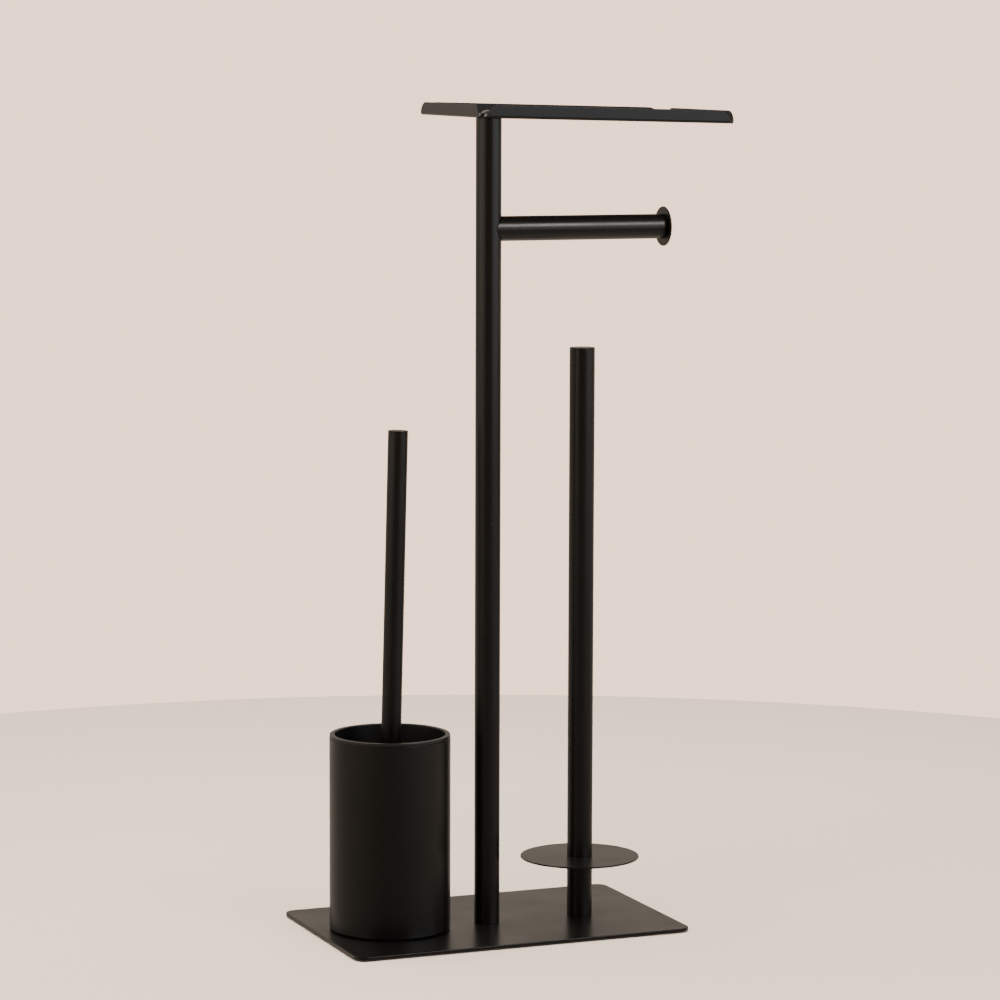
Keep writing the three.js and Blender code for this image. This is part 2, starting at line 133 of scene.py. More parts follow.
def floor_plaster():
    # Sealed plaster: matt, with faint cloudy patches from the trowel, a hand or so wide.
    patch_size = 120 * mm
    material, tree = blank_material("sealed_plaster")
    place = add_node(tree, "ShaderNodeTexCoord").outputs["Object"]
    clouds = add_node(
        tree, "ShaderNodeTexNoise", {"Vector": place, "Scale": 1 / patch_size, "Detail": 3.0}
    )
    colour = add_node(
        tree,
        "ShaderNodeMix",
        {"Factor": clouds.outputs["Fac"], "A": linear("#eedfd0"), "B": linear("#f0e2d4")},
        data_type="RGBA",
    )
    shader = add_node(
        tree,
        "ShaderNodeBsdfPrincipled",
        {"Base Color": colour.outputs["Result"], "Roughness": 0.6, "Specular IOR Level": 0.3},
    )
    add_node(tree, "ShaderNodeOutputMaterial", {"Surface": shader.outputs["BSDF"]})
    return material


floor_outline = [(0, -floor_edge), (floor_radius, -floor_edge), (floor_radius, 0), (0, 0)]
floor = bpy.data.objects.new("floor", turned(floor_outline, sides=128))
floor.data.polygons.foreach_set("use_smooth", [False] * len(floor.data.polygons))
floor.data.materials.append(floor_plaster())
floor.visible_glossy = False
bpy.context.collection.objects.link(floor)

# Soft light: a dim room, brighter behind the stand than in front of it, that gives the coat
# its sheen, while a paler one shows behind. Two long soft panels stand to the left and
# right of the camera, a smaller one high on the right draws the line along the roll arm, one
# behind on the left gives the flat tops a sheen, and a broad one overhead lights the floor.
room_colour = "#ffedda"
room_seen = (2.5, 1.72, 1.27)
room_back = (0.38, 0.92, 0)
room_front_level, room_back_level = 0.14, 0.58
# The room fades to one share overhead and brightens to another underneath, each between
# two rises. A rise is how far a direction points up, from -1 to 1.
overhead_share, overhead_rises = 0.2, (0.5, 0.9)
underneath_share, underneath_rises = 1.9, (-0.75, -0.2)
# Each panel's place, size, watts and colour. All of them face the middle of the stand.
panel_target = Vector((0, 0, 0.35))
panels = {
    "top_panel": ((-0.2, 0.1, 2.4), (2.0, 2.0), 150, "#fff4ea"),
    "arm_panel": ((1.12, -2.24, 1.93), (0.7, 0.9), 26, "#fffaf5"),
    "left_panel": ((-2.18, -0.29, 0.8), (2.4, 1.1), 9, "#ffe9d6"),
    "right_panel": ((1.5, -1.61, 0.8), (2.4, 1.1), 9, "#e8eef8"),
    "back_panel": ((-1.7, 1.7, 1.3), (2.0, 1.0), 6, "#fff1e4"),
}

world = bpy.data.worlds.new("room")
world.use_nodes = True
room = world.node_tree
room.nodes.clear()
heading = add_node(room, "ShaderNodeTexCoord").outputs["Generated"]
facing = add_node(room, "ShaderNodeVectorMath", {0: heading, 1: room_back}, operation="DOT_PRODUCT")
rise = add_node(room, "ShaderNodeSeparateXYZ", {"Vector": heading}).outputs["Z"]
depth = add_node(
    room,
    "ShaderNodeMapRange",
    {
        "Value": facing.outputs["Value"],
        "From Min": -1.0,
        "From Max": 1.0,
        "To Min": room_front_level,
        "To Max": room_back_level,
    },
)
overhead = add_node(
    room,
    "ShaderNodeMapRange",
    {
        "Value": rise,
        "From Min": overhead_rises[0],
        "From Max": overhead_rises[1],
        "To Min": 1.0,
        "To Max": overhead_share,
    },
)
underneath = add_node(
    room,
    "ShaderNodeMapRange",
    {
        "Value": rise,
        "From Min": underneath_rises[0],
        "From Max": underneath_rises[1],
        "To Min": underneath_share,
        "To Max": 1.0,
    },
)
height = add_node(
    room,
    "ShaderNodeMath",
    {0: underneath.outputs["Result"], 1: overhead.outputs["Result"]},
    operation="MULTIPLY",
)
level = add_node(
    room,
    "ShaderNodeMath",
    {0: depth.outputs["Result"], 1: height.outputs["Value"]},
    operation="MULTIPLY",
)
lit = add_node(
    room, "ShaderNodeBackground", {"Color": linear(room_colour), "Strength": level.outputs["Value"]}
)
shown = add_node(room, "ShaderNodeBackground", {"Color": (*room_seen, 1), "Strength": 1.0})
seen = add_node(room, "ShaderNodeLightPath").outputs["Is Camera Ray"]
either = add_node(room, "ShaderNodeMixShader", {0: seen, 1: lit.outputs[0], 2: shown.outputs[0]})
add_node(room, "ShaderNodeOutputWorld", {"Surface": either.outputs[0]})
bpy.context.scene.world = world

for name, (place, size, power, colour) in panels.items():
    light = bpy.data.lights.new(name, "AREA")
    light.shape = "RECTANGLE"
    light.size, light.size_y = size
    light.energy = power
    light.color = linear(colour)[:3]
    lamp = bpy.data.objects.new(name, light)
    lamp.location = place
    lamp.rotation_euler = (Vector(place) - panel_target).to_track_quat("Z", "Y").to_euler()
    lamp.visible_camera = False
    lamp.visible_glossy = name != "top_panel"
    bpy.context.collection.objects.link(lamp)

# ------------------------------------------------------------------------- base plate

# The plate is 3 mm laser-cut steel with its edges broken, powder-coated satin black. Two
# countersunk holes from below take the screws that hold the poles.
plate_corner = 10 * mm
plate_edge = 0.6 * mm
countersink_radius = 5.4 * mm
countersink_land = 0.45 * mm
countersink_depth = 2.7 * mm
shank_hole_radius = 3.15 * mm


def powder_coat():
    # Polyester powder coat, sprayed dry and baked: satin black, smooth to the hand, with a
    # faint orange peel about 1.5 mm across, a much finer grain, and slow drifts in gloss.
    peel_size = 1.5 * mm
    grain_size = 0.35 * mm
    drift_size = 60 * mm
    material, tree = blank_material("satin_black_powder_coat")
    place = add_node(tree, "ShaderNodeTexCoord").outputs["Object"]
    drift = add_node(
        tree, "ShaderNodeTexNoise", {"Vector": place, "Scale": 1 / drift_size, "Detail": 2.0}
    )
    peel = add_node(
        tree,
        "ShaderNodeTexNoise",
        {"Vector": place, "Scale": 1 / peel_size, "Detail": 1.0, "Roughness": 0.4},
    )
    grain = add_node(
        tree, "ShaderNodeTexNoise", {"Vector": place, "Scale": 1 / grain_size, "Detail": 1.0}
    )
    colour = add_node(
        tree,
        "ShaderNodeMix",
        {"Factor": grain.outputs["Fac"], "A": linear("#0c0b0b"), "B": linear("#100f0e")},
        data_type="RGBA",
    )
    gloss = add_node(
        tree,
        "ShaderNodeMapRange",
        {
            "Value": drift.outputs["Fac"],
            "From Min": 0.3,
            "From Max": 0.7,
            "To Min": 0.27,
            "To Max": 0.33,
        },
    )
    rolling = add_node(
        tree,
        "ShaderNodeBump",
        {"Height": peel.outputs["Fac"], "Strength": 0.35, "Distance": 0.012 * mm},
    )
    rough = add_node(
        tree,
        "ShaderNodeBump",
        {
            "Height": grain.outputs["Fac"],
            "Strength": 0.3,
            "Distance": 0.006 * mm,
            "Normal": rolling.outputs["Normal"],
        },
    )
    shader = add_node(
        tree,
        "ShaderNodeBsdfPrincipled",
        {
            "Base Color": colour.outputs["Result"],
            "Roughness": gloss.outputs["Result"],
            "IOR": 1.5,
            "Normal": rough.outputs["Normal"],
        },
    )
    add_node(tree, "ShaderNodeOutputMaterial", {"Surface": shader.outputs["BSDF"]})
    return material


def middle_of(node):
    """The middle of a CAD node's box."""
    low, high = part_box(node)
    return (low + high) / 2


def make_piece(name, mesh, material, body, slot, *stands_for):
    """Puts a finished mesh in the scene as a piece that rides on a body, has a finish, and
    stands for the CAD nodes named last. The slot is not used."""
    mesh.name = name
    mesh.materials.clear()
    mesh.materials.append(material)
    piece = bpy.data.objects.new(name, mesh)
    bpy.context.collection.objects.link(piece)
    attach(piece, body)
    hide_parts(*stands_for)
    return piece


def worked(mesh, *steps, cutters=()):
    """The mesh after some modifiers and cuts, as a plain mesh with even shading on its flats.
    A step is a modifier's kind and its settings. The cutters are meshes to take away."""
    blank = bpy.data.objects.new("blank", mesh)
    bpy.context.collection.objects.link(blank)
    for kind, settings in steps:
        step = blank.modifiers.new(kind, kind)
        for key, value in settings.items():
            setattr(step, key, value)
    tools = [bpy.data.objects.new("cutter", cutter) for cutter in cutters]
    for tool in tools:
        bpy.context.collection.objects.link(tool)
        cut = blank.modifiers.new("cut", "BOOLEAN")
        cut.operation = "DIFFERENCE"
        cut.solver = "EXACT"
        cut.object = tool
    shading = blank.modifiers.new("shading", "WEIGHTED_NORMAL")
    shading.keep_sharp = True
    bpy.context.view_layer.update()
    graph = bpy.context.evaluated_depsgraph_get()
    result = bpy.data.meshes.new_from_object(
        blank.evaluated_get(graph), preserve_all_data_layers=True, depsgraph=graph
    )
    for spare in [blank, *tools]:
        bpy.data.objects.remove(spare)
    return result


def arc(centre, radius, start, end, steps):
    """Points on an arc in a plane, with both ends."""
    angles = [start + (end - start) * step / steps for step in range(steps + 1)]
    return [(centre[0] + radius * cos(a), centre[1] + radius * sin(a)) for a in angles]


def rounded_slab(low, high, corner, steps=12):
    """A flat slab between two corner points, its upright edges rounded."""
    outline = []
    inner_low = (low.x + corner, low.y + corner)
    inner_high = (high.x - corner, high.y - corner)
    for quarter, centre in enumerate([
        inner_high,
        (inner_low[0], inner_high[1]),
        inner_low,
        (inner_high[0], inner_low[1]),
    ]):
        outline += arc(centre, corner, quarter * pi / 2, (quarter + 1) * pi / 2, steps)
    form = bmesh.new()
    face = form.faces.new([form.verts.new((x, y, low.z)) for x, y in outline])
    grown = bmesh.ops.extrude_face_region(form, geom=[face])
    upper = [part for part in grown["geom"] if isinstance(part, bmesh.types.BMVert)]
    bmesh.ops.translate(form, verts=upper, vec=(0, 0, high.z - low.z))
    bmesh.ops.recalc_face_normals(form, faces=form.faces)
    mesh = bpy.data.meshes.new("slab")
    form.to_mesh(mesh)
    form.free()
    mesh.polygons.foreach_set("use_smooth", [True] * len(mesh.polygons))
    return mesh


def broken_edges(width, steps=2):
    """The bevel that breaks a sheet's sharp edges."""
    return (
        "BEVEL",
        {
            "width": width,
            "segments": steps,
            "limit_method": "ANGLE",
            "angle_limit": radians(50),
        },
    )


black_coat = powder_coat()
pole_feet = {"main": middle_of("main_foot_plug"), "spare": middle_of("spare_foot_plug")}
plate_low, plate_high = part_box("base_plate")
countersinks = []
for foot in pole_feet.values():
    hole = turned([
        (0, plate_low.z - mm),
        (countersink_radius, plate_low.z - mm),
        (countersink_radius, plate_low.z + countersink_land),
        (shank_hole_radius, plate_low.z + countersink_depth),
        (shank_hole_radius, plate_high.z + mm),
        (0, plate_high.z + mm),
    ], sides=48)
    hole.transform(Matrix.Translation((foot.x, foot.y, 0)))
    countersinks.append(hole)
plate = worked(
    rounded_slab(plate_low, plate_high, plate_corner),
    broken_edges(plate_edge, steps=4),
    cutters=countersinks,
)
make_piece("base_plate_coated", plate, black_coat, "stand", "powder_coat", "base_plate")

# --------------------------------------------------------------------------- base pad

# The pad is 1 mm closed-cell foam with a tacky back, stuck under the plate 3 mm in from
# its edge. It is punched out round the screws, and keeps the stand from sliding.
pad_corner = 7 * mm
pad_edge = 0.2 * mm
pad_hole_radius = 8 * mm


def closed_cell_foam():
    # EVA foam, split from a block: dull black, with cut cells about 0.3 mm across that
    # read as a fine pitted grain. Each cell is painted darker towards its middle, where the
    # bump sinks it: painted shade in the pits.
    cell_size = 0.3 * mm
    material, tree = blank_material("black_eva_foam")
    place = add_node(tree, "ShaderNodeTexCoord").outputs["Object"]
    cells = add_node(tree, "ShaderNodeTexVoronoi", {"Vector": place, "Scale": 1 / cell_size})
    # Painted shade: the colour darkens towards each cell's middle, in the pit of the bump.
    colour = add_node(
        tree,
        "ShaderNodeMix",
        {"Factor": cells.outputs["Distance"], "A": linear("#0e0e0e"), "B": linear("#262524")},
        data_type="RGBA",
    )
    pits = add_node(
        tree,
        "ShaderNodeBump",
        {"Height": cells.outputs["Distance"], "Strength": 0.6, "Distance": 0.08 * mm},
    )
    shader = add_node(
        tree,
        "ShaderNodeBsdfPrincipled",
        {
            "Base Color": colour.outputs["Result"],
            "Roughness": 0.9,
            "IOR": 1.45,
            "Normal": pits.outputs["Normal"],
        },
    )
    add_node(tree, "ShaderNodeOutputMaterial", {"Surface": shader.outputs["BSDF"]})
    return material


foam = closed_cell_foam()
pad_low, pad_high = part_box("base_pad")
punches = []
for foot in pole_feet.values():
    punch = turned([
        (0, pad_low.z - mm),
        (pad_hole_radius, pad_low.z - mm),
        (pad_hole_radius, pad_high.z + mm),
        (0, pad_high.z + mm),
    ], sides=64)
    punch.transform(Matrix.Translation((foot.x, foot.y, 0)))
    punches.append(punch)
pad = worked(rounded_slab(pad_low, pad_high, pad_corner), broken_edges(pad_edge), cutters=punches)
make_piece("base_pad_foam", pad, foam, "stand", "eva_foam", "base_pad")

# ------------------------------------------------------------------------- base screws

# Two M6 countersunk screws, cold-formed steel with bright zinc plate. They come up
# through the plate and pull the poles down on it.
screw_head_radius = 5.2 * mm
screw_head_rim = 0.3 * mm
screw_shank_radius = 3 * mm
screw_chamfer = 0.8 * mm
screw_round = 0.12 * mm
base_socket = 4.6 * mm
base_socket_depth = 2 * mm


def zinc_plate():
    # Electroplated bright zinc on steel: a pale, slightly blue metal with a fine grain from
    # drawing and a soft bloom that varies over a few millimetres.
    bloom_size = 3 * mm
    drawing_size = 0.25 * mm
    material, tree = blank_material("bright_zinc_plate")
    place = add_node(tree, "ShaderNodeTexCoord").outputs["Object"]
    bloom = add_node(
        tree, "ShaderNodeTexNoise", {"Vector": place, "Scale": 1 / bloom_size, "Detail": 2.0}
    )
    drawn = add_node(
        tree, "ShaderNodeTexNoise", {"Vector": place, "Scale": 1 / drawing_size, "Detail": 2.0}
    )
    colour = add_node(
        tree,
        "ShaderNodeMix",
        {"Factor": bloom.outputs["Fac"], "A": linear("#b9bdc2"), "B": linear("#d3d5d6")},
        data_type="RGBA",
    )
    gloss = add_node(
        tree,
        "ShaderNodeMapRange",
        {
            "Value": bloom.outputs["Fac"],
            "From Min": 0.3,
            "From Max": 0.7,
            "To Min": 0.22,
            "To Max": 0.34,
        },
    )
    scratches = add_node(
        tree,
        "ShaderNodeBump",
        {"Height": drawn.outputs["Fac"], "Strength": 0.15, "Distance": 0.01 * mm},
    )
    shader = add_node(
        tree,
        "ShaderNodeBsdfPrincipled",
        {
            "Base Color": colour.outputs["Result"],
            "Metallic": 1.0,
            "Roughness": gloss.outputs["Result"],
            "Normal": scratches.outputs["Normal"],
        },
    )
    add_node(tree, "ShaderNodeOutputMaterial", {"Surface": shader.outputs["BSDF"]})
    return material


def soften(outline, radius, steps=3):
    """Rounds the corners of a turned outline, and keeps a point just past each round so
    that the shading stays even on the flats."""
    closed = outline[0][0] > 0
    count = len(outline)
    softened = []
    for index, here in enumerate(outline):
        if not closed and index in (0, count - 1):
            softened.append(here)
            continue
        corner = Vector(here)
        before = Vector(outline[index - 1]) - corner
        after = Vector(outline[(index + 1) % count]) - corner
        reach = min(radius, 0.4 * before.length, 0.4 * after.length)
        first, last = corner + before.normalized() * reach, corner + after.normalized() * reach
        softened.append(tuple(first + before.normalized() * 0.2 * reach))
        for step in range(steps + 1):
            share = step / steps
            point = first * (1 - share) ** 2 + corner * 2 * share * (1 - share) + last * share**2
            softened.append(tuple(point))
        softened.append(tuple(last + after.normalized() * 0.2 * reach))
    return softened


def hexagon(across_corners, bottom, top):
    """A six-sided bar to cut a socket with."""
    radius = across_corners / 2
    return turned([(0, bottom), (radius, bottom), (radius, top), (0, top)], sides=6)


zinc = zinc_plate()
for name in ("main", "spare"):
    low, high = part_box(f"{name}_base_screw")
    cone_top = low.z + screw_head_rim + screw_head_radius - screw_shank_radius
    outline = soften([
        (0, low.z),
        (screw_head_radius, low.z),
        (screw_head_radius, low.z + screw_head_rim),
        (screw_shank_radius, cone_top),
        (screw_shank_radius, high.z - screw_chamfer),
        (screw_shank_radius - screw_chamfer, high.z),
        (0, high.z),
    ], screw_round, steps=2)
    socket = hexagon(base_socket, low.z - mm, low.z + base_socket_depth)
    screw = worked(turned(outline, sides=64), cutters=[socket])
    screw.transform(Matrix.Translation((pole_feet[name].x, pole_feet[name].y, 0)))
    make_piece(
        f"{name}_base_screw_plated", screw, zinc, "stand", "zinc_steel", f"{name}_base_screw"
    )

# ---------------------------------------------------- threaded plugs, studs and tie rod

# Turned steel plugs, studs, a rod and a blind rivet nut, all zinc-plated. They are shut
# inside the tubes, so they keep their plain shape and only take the metal's finish.
for node in (
    "main_foot_plug",
    "main_joint_lower_plug",
    "main_joint_stud",
    "main_joint_upper_plug",
    "main_top_plug",
    "arm_rivet_nut",
    "arm_tie_rod",
    "spare_foot_plug",
    "spare_joint_lower_plug",
    "spare_joint_stud",
    "spare_joint_upper_plug",
    "handle_plug",
):
    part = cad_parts[node]
    part.data.materials.clear()
    part.data.materials.append(zinc)

# ------------------------------------------------------------------ poles and their cap

# Both poles are 22 mm steel tube with a 1.2 mm wall, coated after cutting. The main pole
# is two lengths that meet in a fine line, the upper one drilled for the arm's rivet nut;
# the spare pole is cut by its disc and closed with a flat cap.
pole_wall = 1.2 * mm
tube_break = 0.25 * mm
cap_round = 0.3 * mm
push_fit = 0.1 * mm
rivet_hole_radius = 4.7 * mm
rivet_drill_length = 20 * mm
dressed_length = 1 * mm
# The shelf hangs down this much from the pole, to its free end and to the front.
shelf_droop = radians(1.35)
shelf_forward = radians(0.35)


def tube_outline(radius, wall, bottom, top):
    """A tube's section, its ends broken like a cut and deburred tube's."""
    bore = radius - wall
    return soften([(bore, bottom), (radius, bottom), (radius, top), (bore, top)], tube_break)


def cap_outline(radius, wall, bottom, seat, top):
    """A push-in cap's section: a plug below the seat and a flat, rounded head above it."""
    plug = radius - wall - push_fit
    return soften([
        (0, bottom),
        (plug, bottom),
        (plug, seat),
        (radius, seat),
        (radius, top),
        (0, top),
    ], cap_round)


def dressed(mesh, end):
    """Raises the upper end of a tube on the Z axis until it meets the shelf all round."""
    lowest = pole_radius * sin(sqrt(shelf_droop**2 + shelf_forward**2))
    for vertex in mesh.vertices:
        if vertex.co.z > end - dressed_length:
            slope = vertex.co.y * sin(shelf_forward) - vertex.co.x * sin(shelf_droop)
            vertex.co.z += lowest + slope
    return mesh


pole_radius = (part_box("main_pole_lower")[1].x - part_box("main_pole_lower")[0].x) / 2
arm_middle = middle_of("roll_arm")
for node in ("main_pole_lower", "main_pole_upper", "spare_pole_foot", "spare_pole_upper"):
    low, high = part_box(node)
    tube = turned(tube_outline(pole_radius, pole_wall, low.z, high.z))
    if node == "main_pole_upper":
        drill = turned([
            (0, 0),
            (rivet_hole_radius, 0),
            (rivet_hole_radius, rivet_drill_length),
            (0, rivet_drill_length),
        ], sides=48)
        drill.transform(Matrix.Translation((0, 0, arm_middle.z)) @ Matrix.Rotation(pi / 2, 4, "Y"))
        tube = dressed(worked(tube, cutters=[drill]), high.z)
    tube.transform(Matrix.Translation((middle_of(node).x, middle_of(node).y, 0)))
    make_piece(f"{node}_coated", tube, black_coat, "stand", "powder_coat", node)

low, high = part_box("spare_pole_cap")
cap_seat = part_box("spare_pole_upper")[1].z
cap = turned(cap_outline(pole_radius, pole_wall, low.z, cap_seat, high.z))
cap.transform(Matrix.Translation((middle_of("spare_pole_cap").x, middle_of("spare_pole_cap").y, 0)))
make_piece("spare_pole_cap_coated", cap, black_coat, "stand", "powder_coat", "spare_pole_cap")

# ------------------------------------------------------------------------- spare disc

# A 1.5 mm steel disc, clamped between the two lengths of the spare pole. Rolls stand on it.
disc_bore = 4.2 * mm
disc_edge = 0.6 * mm
low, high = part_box("spare_disc")
disc_radius = (high.x - low.x) / 2
disc_outline = soften([
    (disc_bore, low.z),
    (disc_radius, low.z),
    (disc_radius, high.z),
    (disc_bore, high.z),
], disc_edge)
disc = turned(disc_outline, sides=160)
disc.transform(Matrix.Translation((middle_of("spare_disc").x, middle_of("spare_disc").y, 0)))
make_piece("spare_disc_coated", disc, black_coat, "stand", "powder_coat", "spare_disc")

# --------------------------------------------------------------------------- roll arm

# A tube that the roll slides onto. Its end is saddle-cut to wrap round the pole, and a
# rod inside pulls it tight; the thin end disc keeps the roll from slipping off.
arm_wall = 1.2 * mm
saddle_gap = 0.3 * mm
saddle_reach = 2 * mm
disc_gap = 0.1 * mm
boss_length = 12 * mm
boss_floor = 2 * mm
boss_bore = 3.2 * mm
disc_round = 0.65 * mm

arm_low, arm_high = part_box("roll_arm")
arm_radius = (arm_high.z - arm_low.z) / 2
pole_axis = middle_of("main_pole_upper")
along_arm = (
    Matrix.Translation((pole_axis.x, pole_axis.y, arm_middle.z)) @ Matrix.Rotation(pi / 2, 4, "Y")
)


def saddle_cut(mesh):
    """Moves the points at the pole's end of a tube along it until they wrap the pole."""
    for vertex in mesh.vertices:
        if vertex.co.z < saddle_reach:
            wrapped = sqrt((pole_radius + saddle_gap) ** 2 - min(vertex.co.y**2, arm_radius**2))
            vertex.co.z = wrapped + vertex.co.z
    return mesh


arm_end = arm_high.x - pole_axis.x
arm = saddle_cut(turned(tube_outline(arm_radius, arm_wall, 0, arm_end)))
arm.transform(along_arm)
make_piece("roll_arm_coated", arm, black_coat, "stand", "powder_coat", "roll_arm")

disc_low, disc_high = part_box("arm_end_disc")
face_in = arm_end + disc_gap
face_out = disc_high.x - pole_axis.x
end_radius = (disc_high.z - disc_low.z) / 2
boss_radius = arm_radius - arm_wall - push_fit
end_disc = turned(
    soften([
        (0, face_in - boss_floor),
        (boss_bore, face_in - boss_floor),
        (boss_bore, face_in - boss_length),
        (boss_radius, face_in - boss_length),
        (boss_radius, face_in),
        (end_radius, face_in),
        (end_radius, face_out),
        (0, face_out),
    ], disc_round)
)
end_disc.transform(along_arm)
make_piece("arm_end_disc_coated", end_disc, black_coat, "stand", "powder_coat", "arm_end_disc")

# ------------------------------------------------------------------------------ shelf

# A tray folded from 1.5 mm sheet: a flat floor with a lip up each side. The lips stop
# short of the corners and their ends are cut to a quarter round, so the corners are open.
# One screw at the front left corner holds it, and it hangs down a little from there.
shelf_length = 240 * mm
shelf_depth = 150 * mm
sheet = 1.5 * mm
lip_height = 11.3 * mm
lip_setback = 6 * mm
bend_inside = 1 * mm
shelf_edge = 0.6 * mm
shelf_overhang = 0.5 * mm
shelf_hole_radius = 4.2 * mm
rest_gap = 0.05 * mm


def folded_tray():
    """The middle of the sheet: the floor, and from each side a bend and a lip."""
    bend = bend_inside + sheet / 2
    bend_steps = 6
    to_bend = bend_inside + sheet
    form = bmesh.new()
    corner_x, corner_y = shelf_length / 2 - to_bend, shelf_depth / 2 - to_bend
    edge = []
    for quarter in range(4):
        turn = Matrix.Rotation(quarter * pi / 2, 4, "Z")
        reach, along = (corner_x, shelf_depth) if quarter % 2 == 0 else (corner_y, shelf_length)
        half = along / 2 - lip_setback
        rows = []
        for step in range(bend_steps + 1):
            angle = (pi / 2) * step / bend_steps
            rows.append((reach + bend * sin(angle), to_bend - bend * cos(angle)))
        strips = []
        for out, up in rows:
            side = half - lip_height + sqrt(lip_height**2 - up**2)
            ends = [turn @ Vector((out, -side, up)), turn @ Vector((out, side, up))]
            strips.append([form.verts.new(end) for end in ends])
        for lower, upper in zip(strips, strips[1:]):
            form.faces.new([lower[0], lower[1], upper[1], upper[0]])
        # The lip above the bend, up one rounded end, along the top and down the other.
        lip_end = (half - lip_height, 0)
        rounded = arc(lip_end, lip_height, asin(to_bend / lip_height), pi / 2, steps=12)
        near = [form.verts.new(turn @ Vector((reach + bend, y, z))) for y, z in rounded[1:]]
        far = [form.verts.new(turn @ Vector((reach + bend, -y, z))) for y, z in rounded[1:]]
        form.faces.new([strips[-1][0], strips[-1][1], *near, *reversed(far)])
        next_corner = turn @ Vector((reach, along / 2 - to_bend, sheet / 2))
        edge += [*strips[0], form.verts.new(next_corner)]
    form.faces.new(edge)
    bmesh.ops.recalc_face_normals(form, faces=form.faces)
    mesh = bpy.data.meshes.new("tray")
    form.to_mesh(mesh)
    form.free()
    mesh.polygons.foreach_set("use_smooth", [True] * len(mesh.polygons))
    return mesh


pole_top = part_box("main_pole_upper")[1].z
seat = pole_top + pole_radius * sin(sqrt(shelf_droop**2 + shelf_forward**2)) + rest_gap
shelf_place = (
    Matrix.Translation((pole_axis.x, pole_axis.y, seat))
    @ Matrix.Rotation(shelf_forward, 4, "X")
    @ Matrix.Rotation(shelf_droop, 4, "Y")
)
tray_blank = folded_tray()
corner_to_pole = pole_radius + shelf_overhang
tray_blank.transform(
    Matrix.Translation((shelf_length / 2 - corner_to_pole, shelf_depth / 2 - corner_to_pole, 0))
)
screw_way = turned([
    (0, -mm),
    (shelf_hole_radius, -mm),
    (shelf_hole_radius, 2 * sheet),
    (0, 2 * sheet),
], sides=48)
tray = worked(
    tray_blank,
    ("SOLIDIFY", {"thickness": sheet, "offset": 0, "use_even_offset": True}),
    broken_edges(shelf_edge, steps=4),
    cutters=[screw_way],
)
tray.transform(shelf_place)
make_piece("shelf_tray_coated", tray, black_coat, "stand", "powder_coat", "shelf_tray")

# ------------------------------------------------------------------- shelf screw, washer

# An M8 button-head screw with a hexagon socket, on a plain washer, both bright zinc plate.
# They show as a glint in the open front corner of the shelf.
washer_radius = 7.6 * mm
washer_bore = 4.2 * mm
washer_thickness = 1 * mm
washer_round = 0.2 * mm
button_radius = 7 * mm
button_height = 4.4 * mm
button_shank = 4 * mm
button_length = 14 * mm
button_socket = 5.8 * mm
button_socket_depth = 2.6 * mm

washer_low = sheet + rest_gap
washer_high = washer_low + washer_thickness
washer_outline = soften([
    (washer_bore, washer_low),
    (washer_radius, washer_low),
    (washer_radius, washer_high),
    (washer_bore, washer_high),
], washer_round)
washer = turned(washer_outline, sides=64)
washer.transform(shelf_place)
make_piece("shelf_washer_plated", washer, zinc, "stand", "zinc_steel", "shelf_washer")

button_base = washer_high + rest_gap
dome_steps = 12
dome = [
    (button_radius * cos(angle), button_base + button_height * sin(angle))
    for angle in [(pi / 2) * step / dome_steps for step in range(dome_steps)]
]
button = turned([
    (0, button_base - button_length),
    (button_shank, button_base - button_length),
    (button_shank, button_base),
    *dome,
    (0, button_base + button_height),
], sides=64)
button_top = button_base + button_height
key_socket = hexagon(button_socket, button_top - button_socket_depth, button_top + mm)
button = worked(button, cutters=[key_socket])
button.transform(shelf_place)
make_piece("shelf_screw_plated", button, zinc, "stand", "zinc_steel", "shelf_screw")

# ---------------------------------------------------------------------- cup and its foot

# The cup is deep-drawn steel, 1 mm thick, rolled smooth and powder-coated like the poles.
# A ring of the same foam as the base pad is stuck under it.
cup_wall = 1 * mm
cup_round = 1.2 * mm
low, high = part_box("brush_cup")
cup_radius = (high.x - low.x) / 2
cup_place = Matrix.Translation((middle_of("brush_cup").x, middle_of("brush_cup").y, 0))
cup_shell = turned(
    soften([
        (0, low.z),
        (cup_radius, low.z),
        (cup_radius, high.z),
        (cup_radius - cup_wall, high.z),
        (cup_radius - cup_wall, low.z + cup_wall),
        (0, low.z + cup_wall),
    ], cup_round, steps=5),
    sides=160,
)
cup_shell.transform(cup_place)
make_piece("brush_cup_coated", cup_shell, black_coat, "cup", "powder_coat", "brush_cup")

foot_width = 8 * mm
foot_edge = 0.15 * mm
foot_low, foot_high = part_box("cup_foot_ring")
foot_radius = (foot_high.x - foot_low.x) / 2
foot_ring = turned(
    soften([
        (foot_radius - foot_width, foot_low.z),
        (foot_radius, foot_low.z),
        (foot_radius, foot_high.z),
        (foot_radius - foot_width, foot_high.z),
    ], foot_edge),
    sides=128,
)
foot_ring.transform(cup_place)
make_piece("cup_foot_foam", foot_ring, foam, "cup", "eva_foam", "cup_foot_ring")

# -------------------------------------------------------------------------------- liner

# A tapered polypropylene bucket that drops into the cup and hangs on its rim. Its lip is
# the ring on top of the cup; it lifts out to be emptied and washed.
liner_wall = 2.5 * mm
liner_gap = 1 * mm
liner_taper = 1.5 * mm
liner_round = 0.8 * mm


